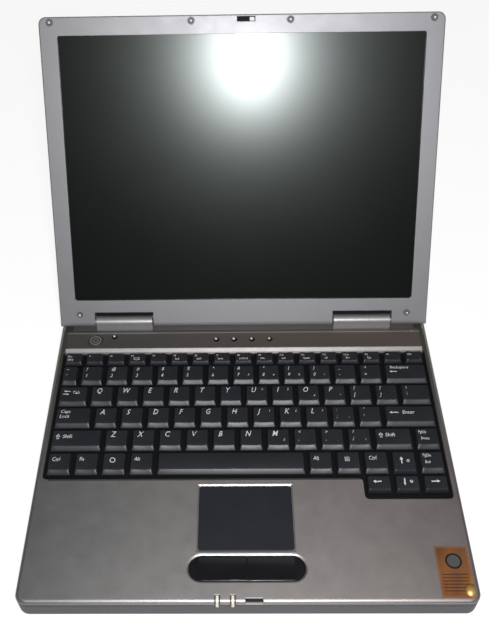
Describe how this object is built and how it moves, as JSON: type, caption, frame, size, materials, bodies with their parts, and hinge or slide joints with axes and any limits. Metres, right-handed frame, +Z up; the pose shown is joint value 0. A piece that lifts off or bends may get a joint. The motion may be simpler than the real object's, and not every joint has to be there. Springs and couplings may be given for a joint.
{
  "type": "notebook computer",
  "caption": "Thin silver-grey notebook computer standing open: dark keyboard, touchpad with paired buttons, framed dark screen on a friction-hinged lid.",
  "frame": {"origin": "centre of the case's plan, on the table it stands on", "axes": "+X to the user's right, +Y away from the user, +Z up"},
  "size_m": [0.2736, 0.3283, 0.2106],
  "materials": {
    "case_paint": "satin",
    "lid_paint": "satin",
    "bezel_paint": "satin",
    "strip_plastic": "satin",
    "belly_plastic": "matte",
    "key_plastic": "satin",
    "gloss_black": "gloss",
    "dark_plastic": "matte",
    "pad_plastic": "satin",
    "light_plastic": "satin",
    "bumper_rubber": "matte",
    "foot_rubber": "matte",
    "bright_steel": "satin",
    "drive_metal": "satin",
    "copper": "satin",
    "board_resin": "satin",
    "screen_glass": "satin",
    "foil": "satin"
  },
  "bodies": {
    "base": {"bottom_case": "belly_plastic", "palm_rest": "case_paint", "control_cover": "strip_plastic", "hinge_cover_left": "case_paint", "hinge_cover_right": "case_paint", "hinge_base_left": "bright_steel", "hinge_base_right": "bright_steel", "mainboard": "board_resin", "heat_sink": "copper", "fan_housing": "dark_plastic", "hard_drive": "drive_metal", "battery_pack": "dark_plastic", "memory_module": "board_resin", "memory_cover": "belly_plastic", "speaker": "dark_plastic", "touchpad": "pad_plastic", "light_pipes": "light_plastic", "power_jack": "dark_plastic", "usb_sockets": "bright_steel", "video_connector": "bright_steel", "audio_jacks": "dark_plastic", "card_cage": "bright_steel", "case_screws": "bright_steel", "rubber_feet": "foot_rubber", "palm_sticker": "foil", "keyboard_plate": "drive_metal", "key_supports": "dark_plastic", "base_display_cable": "dark_plastic", "function_keys": "key_plastic", "number_keys": "key_plastic", "letter_keys": "key_plastic", "modifier_keys": "key_plastic"},
    "lid": {"lid_cover": "lid_paint", "screen_bezel": "bezel_paint", "lcd_panel": "screen_glass", "lcd_tray": "drive_metal", "inverter_board": "board_resin", "bezel_bumpers": "bumper_rubber", "hinge_arm_left": "bright_steel", "hinge_arm_right": "bright_steel", "lid_display_cable": "dark_plastic"},
    "latch_slider": {"lid_latch": "bezel_paint"},
    "fan_rotor_body": {"fan_rotor": "dark_plastic"},
    "battery_latch_body": {"battery_latch": "belly_plastic"},
    "card_eject_button_body": {"card_eject_button": "dark_plastic"},
    "touchpad_button_left_body": {"touchpad_button_left": "gloss_black"},
    "touchpad_button_right_body": {"touchpad_button_right": "gloss_black"},
    "power_button_body": {"power_button": "case_paint"},
    "space_bar_body": {"space_bar": "key_plastic"},
    "enter_key_body": {"enter_key": "key_plastic"},
    "backspace_key_body": {"backspace_key": "key_plastic"},
    "tab_key_body": {"tab_key": "key_plastic"},
    "caps_lock_key_body": {"caps_lock_key": "key_plastic"},
    "left_shift_key_body": {"left_shift_key": "key_plastic"},
    "right_shift_key_body": {"right_shift_key": "key_plastic"},
    "escape_key_body": {"escape_key": "key_plastic"},
    "up_arrow_key_body": {"up_arrow_key": "key_plastic"},
    "down_arrow_key_body": {"down_arrow_key": "key_plastic"},
    "left_arrow_key_body": {"left_arrow_key": "key_plastic"},
    "right_arrow_key_body": {"right_arrow_key": "key_plastic"}
  },
  "joints": [
    {"name": "lid_hinge", "type": "hinge", "parent": "base", "child": "lid", "pos_m": [0, 0.105, 0.0226], "axis": [-1, 0, 0], "range_deg": [-120.4, 24.6]},
    {"name": "lid_latch_slide", "type": "slide", "parent": "lid", "child": "latch_slider", "axis": [-1, 0, 0], "range_m": [0, 0.0035], "stiffness_N_per_m": 120},
    {"name": "battery_latch_slide", "type": "slide", "parent": "base", "child": "battery_latch_body", "axis": [0, 1, 0], "range_m": [0, 0.0025], "stiffness_N_per_m": 250},
    {"name": "card_eject_press", "type": "slide", "parent": "base", "child": "card_eject_button_body", "axis": [1, 0, 0], "range_m": [0, 0.003], "stiffness_N_per_m": 200},
    {"name": "touchpad_button_left_press", "type": "slide", "parent": "base", "child": "touchpad_button_left_body", "axis": [0, 0, -1], "range_m": [0, 0.0004], "stiffness_N_per_m": 1500},
    {"name": "touchpad_button_right_press", "type": "slide", "parent": "base", "child": "touchpad_button_right_body", "axis": [0, 0, -1], "range_m": [0, 0.0004], "stiffness_N_per_m": 1500},
    {"name": "power_button_press", "type": "slide", "parent": "base", "child": "power_button_body", "axis": [0, 0, -1], "range_m": [0, 0.0005], "stiffness_N_per_m": 1200},
    {"name": "fan_spin", "type": "hinge", "parent": "base", "child": "fan_rotor_body", "pos_m": [-0.0442, 0.0946, 0.0059], "axis": [0, 0, 1], "continuous": true},
    {"name": "space_bar_press", "type": "slide", "parent": "base", "child": "space_bar_body", "axis": [0, 0, -1], "range_m": [0, 0.002], "stiffness_N_per_m": 300},
    {"name": "enter_key_press", "type": "slide", "parent": "base", "child": "enter_key_body", "axis": [0, 0, -1], "range_m": [0, 0.002], "stiffness_N_per_m": 300},
    {"name": "backspace_key_press", "type": "slide", "parent": "base", "child": "backspace_key_body", "axis": [0, 0, -1], "range_m": [0, 0.002], "stiffness_N_per_m": 300},
    {"name": "tab_key_press", "type": "slide", "parent": "base", "child": "tab_key_body", "axis": [0, 0, -1], "range_m": [0, 0.002], "stiffness_N_per_m": 300},
    {"name": "caps_lock_key_press", "type": "slide", "parent": "base", "child": "caps_lock_key_body", "axis": [0, 0, -1], "range_m": [0, 0.002], "stiffness_N_per_m": 300},
    {"name": "left_shift_key_press", "type": "slide", "parent": "base", "child": "left_shift_key_body", "axis": [0, 0, -1], "range_m": [0, 0.002], "stiffness_N_per_m": 300},
    {"name": "right_shift_key_press", "type": "slide", "parent": "base", "child": "right_shift_key_body", "axis": [0, 0, -1], "range_m": [0, 0.002], "stiffness_N_per_m": 300},
    {"name": "escape_key_press", "type": "slide", "parent": "base", "child": "escape_key_body", "axis": [0, 0, -1], "range_m": [0, 0.002], "stiffness_N_per_m": 300},
    {"name": "up_arrow_key_press", "type": "slide", "parent": "base", "child": "up_arrow_key_body", "axis": [0, 0, -1], "range_m": [0, 0.002], "stiffness_N_per_m": 300},
    {"name": "down_arrow_key_press", "type": "slide", "parent": "base", "child": "down_arrow_key_body", "axis": [0, 0, -1], "range_m": [0, 0.002], "stiffness_N_per_m": 300},
    {"name": "left_arrow_key_press", "type": "slide", "parent": "base", "child": "left_arrow_key_body", "axis": [0, 0, -1], "range_m": [0, 0.002], "stiffness_N_per_m": 300},
    {"name": "right_arrow_key_press", "type": "slide", "parent": "base", "child": "right_arrow_key_body", "axis": [0, 0, -1], "range_m": [0, 0.002], "stiffness_N_per_m": 300}
  ]
}
